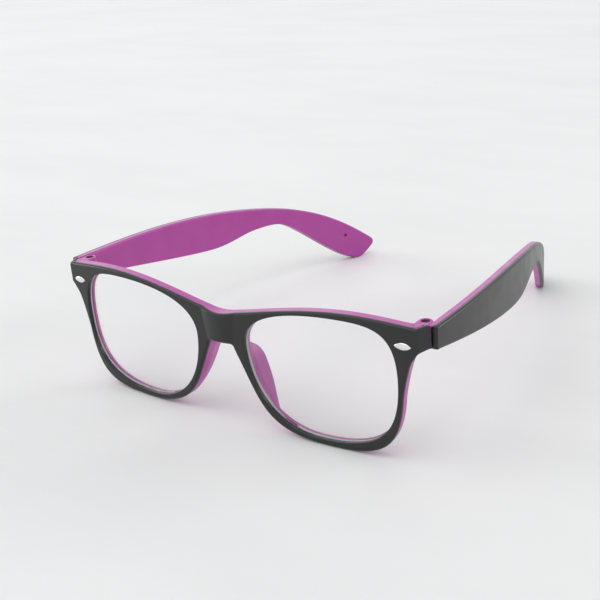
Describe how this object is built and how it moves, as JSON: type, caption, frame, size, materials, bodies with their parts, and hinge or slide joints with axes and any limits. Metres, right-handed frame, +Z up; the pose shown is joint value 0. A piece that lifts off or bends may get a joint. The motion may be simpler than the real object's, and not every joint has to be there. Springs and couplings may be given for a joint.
{
  "type": "trapezoid eyeglasses",
  "caption": "Two-tone eyeglasses with broad trapezoid rims, clear lenses, oval rivet plates and folding temples, standing open.",
  "frame": {"origin": "on the ground, below the middle of the open eyeglasses", "axes": "+Z up; -Y is the way the front faces; the temples run towards +Y; +X is the right side as seen from the front"},
  "size_m": [0.145, 0.1566, 0.0448],
  "materials": {
    "black_plastic": "black, semi-gloss",
    "purple_plastic": "purple, satin",
    "clear_lens": "clear, polished",
    "rivet_metal": "bright",
    "screw_metal": "plain"
  },
  "bodies": {
    "front": {"front_face": "black_plastic", "frame_back": "purple_plastic", "lens_left": "clear_lens", "lens_right": "clear_lens", "rivet_left": "rivet_metal", "rivet_right": "rivet_metal", "hinge_screw_left": "screw_metal", "hinge_screw_right": "screw_metal"},
    "temple_left": {"temple_outer_left": "black_plastic", "temple_inner_left": "purple_plastic"},
    "temple_right": {"temple_outer_right": "black_plastic", "temple_inner_right": "purple_plastic"}
  },
  "joints": [
    {"name": "temple_left_fold", "type": "hinge", "parent": "front", "child": "temple_left", "pos_m": [-0.06705, -0.06589, 0.04005], "axis": [0, 0, -1], "range_deg": [0, 82]},
    {"name": "temple_right_fold", "type": "hinge", "parent": "front", "child": "temple_right", "pos_m": [0.06705, -0.06589, 0.04005], "axis": [0, 0, 1], "range_deg": [0, 78]}
  ]
}
